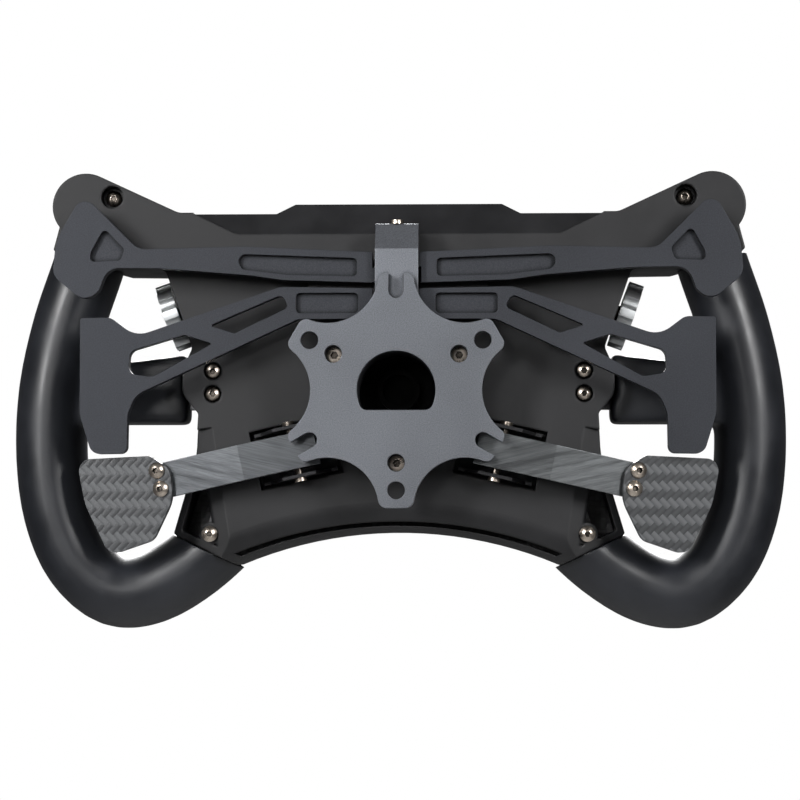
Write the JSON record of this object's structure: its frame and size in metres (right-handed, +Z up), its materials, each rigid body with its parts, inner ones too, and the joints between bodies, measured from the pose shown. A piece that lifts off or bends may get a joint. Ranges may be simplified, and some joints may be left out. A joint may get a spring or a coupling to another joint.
{
  "type": "racing wheel",
  "caption": "Open-topped sim racing wheel with rubber grips, a shell with front controls, gear paddles, clutch levers, thumb wheels and a star-shaped hub plate behind.",
  "frame": {"origin": "centre of the hub's bolt circle, on the rear face of the hub plate", "axes": "+X to the driver's left, +Y from the hub plate's rear face towards the driver, +Z up"},
  "size_m": [0.2804, 0.067, 0.1639],
  "materials": {
    "hub_grey": "bead-blasted and anodised blue-grey",
    "anodised_black": "bead-blasted and anodised charcoal",
    "brushed_grey": "brushed along its length and anodised dark grey",
    "screw_steel": "bright turned steel, slightly warm",
    "magnet_nickel": "nickel plated",
    "shell_black": "fine matte moulding",
    "carbon_face": "satin carbon laminate",
    "carbon_pad": "satin carbon twill",
    "core_aluminium": "milled and anodised",
    "grip_rubber": "smooth satin moulded rubber",
    "spring_wire": "drawn wire",
    "circuit_green": "green circuit board",
    "component_black": "moulded component",
    "thumb_silver": "polished and clear anodised",
    "knob_black": "turned and anodised black",
    "button_grey": "satin moulded cap"
  },
  "bodies": {
    "chassis": {"hub_plate": "hub_grey", "hub_spacer": "anodised_black", "plate_screws": "screw_steel", "hub_screws": "screw_steel", "paddle_spine": "hub_grey", "spine_screws": "screw_steel", "paddle_block": "anodised_black", "paddle_pin": "screw_steel", "block_magnets": "magnet_nickel", "rear_shell": "shell_black", "faceplate": "carbon_face", "core_frame": "core_aluminium", "left_grip": "grip_rubber", "right_grip": "grip_rubber", "shell_screws": "screw_steel", "front_screws": "screw_steel", "clutch_bracket_left": "anodised_black", "clutch_bracket_right": "anodised_black", "clutch_pin_left": "screw_steel", "clutch_pin_right": "screw_steel", "clutch_spring_left": "spring_wire", "clutch_spring_right": "spring_wire", "lever_sensors": "circuit_green", "thumb_encoders": "component_black", "button_bezels": "shell_black", "switch_bodies": "component_black", "main_board": "circuit_green", "rotary_encoders": "component_black", "data_socket": "component_black"},
    "upper_paddle_left": {"upper_paddle_left": "anodised_black", "upper_magnet_left": "magnet_nickel"},
    "mid_paddle_left": {"mid_paddle_left": "anodised_black", "mid_magnet_left": "magnet_nickel"},
    "clutch_lever_left": {"clutch_arm_left": "brushed_grey", "clutch_pad_left": "carbon_pad", "clutch_pad_screws_left": "screw_steel"},
    "thumb_wheel_left": {"thumb_wheel_left": "thumb_silver", "thumb_shaft_left": "screw_steel"},
    "rotary_knob_left": {"rotary_knob_left": "knob_black", "rotary_shaft_left": "screw_steel"},
    "button_1_left": {"button_1_left": "button_grey"},
    "button_2_left": {"button_2_left": "button_grey"},
    "button_3_left": {"button_3_left": "button_grey"},
    "button_4_left": {"button_4_left": "button_grey"},
    "upper_paddle_right": {"upper_paddle_right": "anodised_black", "upper_magnet_right": "magnet_nickel"},
    "mid_paddle_right": {"mid_paddle_right": "anodised_black", "mid_magnet_right": "magnet_nickel"},
    "clutch_lever_right": {"clutch_arm_right": "brushed_grey", "clutch_pad_right": "carbon_pad", "clutch_pad_screws_right": "screw_steel"},
    "thumb_wheel_right": {"thumb_wheel_right": "thumb_silver", "thumb_shaft_right": "screw_steel"},
    "rotary_knob_right": {"rotary_knob_right": "knob_black", "rotary_shaft_right": "screw_steel"},
    "button_1_right": {"button_1_right": "button_grey"},
    "button_2_right": {"button_2_right": "button_grey"},
    "button_3_right": {"button_3_right": "button_grey"},
    "button_4_right": {"button_4_right": "button_grey"}
  },
  "joints": [
    {"name": "upper_paddle_left", "type": "hinge", "parent": "chassis", "child": "upper_paddle_left", "pos_m": [0, 0.012, 0.044], "axis": [0, 0, 1], "range_deg": [0, 3], "stiffness_Nm_per_rad": 4, "springref_deg": -1.72},
    {"name": "mid_paddle_left", "type": "hinge", "parent": "chassis", "child": "mid_paddle_left", "pos_m": [0, 0.012, 0.031], "axis": [0, 0, 1], "range_deg": [0, 3], "stiffness_Nm_per_rad": 4, "springref_deg": -1.72},
    {"name": "clutch_lever_left", "type": "hinge", "parent": "chassis", "child": "clutch_lever_left", "pos_m": [0.0365, 0.015, -0.021], "axis": [0.2164, 0, 0.9763], "range_deg": [0, 6], "stiffness_Nm_per_rad": 2, "springref_deg": -2.86, "deforming": ["clutch_spring_left"]},
    {"name": "thumb_wheel_left", "type": "hinge", "parent": "chassis", "child": "thumb_wheel_left", "pos_m": [0.08214, 0.038, 0.02895], "axis": [0.943, 0, -0.3328], "continuous": true},
    {"name": "rotary_knob_left", "type": "hinge", "parent": "chassis", "child": "rotary_knob_left", "pos_m": [0.036, 0.06, -0.02], "axis": [0, 1, 0], "continuous": true},
    {"name": "button_1_left", "type": "slide", "parent": "chassis", "child": "button_1_left", "axis": [0, -1, 0], "range_m": [0, 0.0015], "stiffness_N_per_m": 600, "springref_m": -0.001},
    {"name": "button_2_left", "type": "slide", "parent": "chassis", "child": "button_2_left", "axis": [0, -1, 0], "range_m": [0, 0.0015], "stiffness_N_per_m": 600, "springref_m": -0.001},
    {"name": "button_3_left", "type": "slide", "parent": "chassis", "child": "button_3_left", "axis": [0, -1, 0], "range_m": [0, 0.0015], "stiffness_N_per_m": 600, "springref_m": -0.001},
    {"name": "button_4_left", "type": "slide", "parent": "chassis", "child": "button_4_left", "axis": [0, -1, 0], "range_m": [0, 0.0015], "stiffness_N_per_m": 600, "springref_m": -0.001},
    {"name": "upper_paddle_right", "type": "hinge", "parent": "chassis", "child": "upper_paddle_right", "pos_m": [0, 0.012, 0.044], "axis": [0, 0, -1], "range_deg": [0, 3], "stiffness_Nm_per_rad": 4, "springref_deg": -1.72},
    {"name": "mid_paddle_right", "type": "hinge", "parent": "chassis", "child": "mid_paddle_right", "pos_m": [0, 0.012, 0.031], "axis": [0, 0, -1], "range_deg": [0, 3], "stiffness_Nm_per_rad": 4, "springref_deg": -1.72},
    {"name": "clutch_lever_right", "type": "hinge", "parent": "chassis", "child": "clutch_lever_right", "pos_m": [-0.0365, 0.015, -0.021], "axis": [0.2164, 0, -0.9763], "range_deg": [0, 6], "stiffness_Nm_per_rad": 2, "springref_deg": -2.86, "deforming": ["clutch_spring_right"]},
    {"name": "thumb_wheel_right", "type": "hinge", "parent": "chassis", "child": "thumb_wheel_right", "pos_m": [-0.08214, 0.038, 0.02895], "axis": [-0.943, 0, -0.3328], "continuous": true},
    {"name": "rotary_knob_right", "type": "hinge", "parent": "chassis", "child": "rotary_knob_right", "pos_m": [-0.036, 0.06, -0.02], "axis": [0, 1, 0], "continuous": true},
    {"name": "button_1_right", "type": "slide", "parent": "chassis", "child": "button_1_right", "axis": [0, -1, 0], "range_m": [0, 0.0015], "stiffness_N_per_m": 600, "springref_m": -0.001},
    {"name": "button_2_right", "type": "slide", "parent": "chassis", "child": "button_2_right", "axis": [0, -1, 0], "range_m": [0, 0.0015], "stiffness_N_per_m": 600, "springref_m": -0.001},
    {"name": "button_3_right", "type": "slide", "parent": "chassis", "child": "button_3_right", "axis": [0, -1, 0], "range_m": [0, 0.0015], "stiffness_N_per_m": 600, "springref_m": -0.001},
    {"name": "button_4_right", "type": "slide", "parent": "chassis", "child": "button_4_right", "axis": [0, -1, 0], "range_m": [0, 0.0015], "stiffness_N_per_m": 600, "springref_m": -0.001}
  ]
}
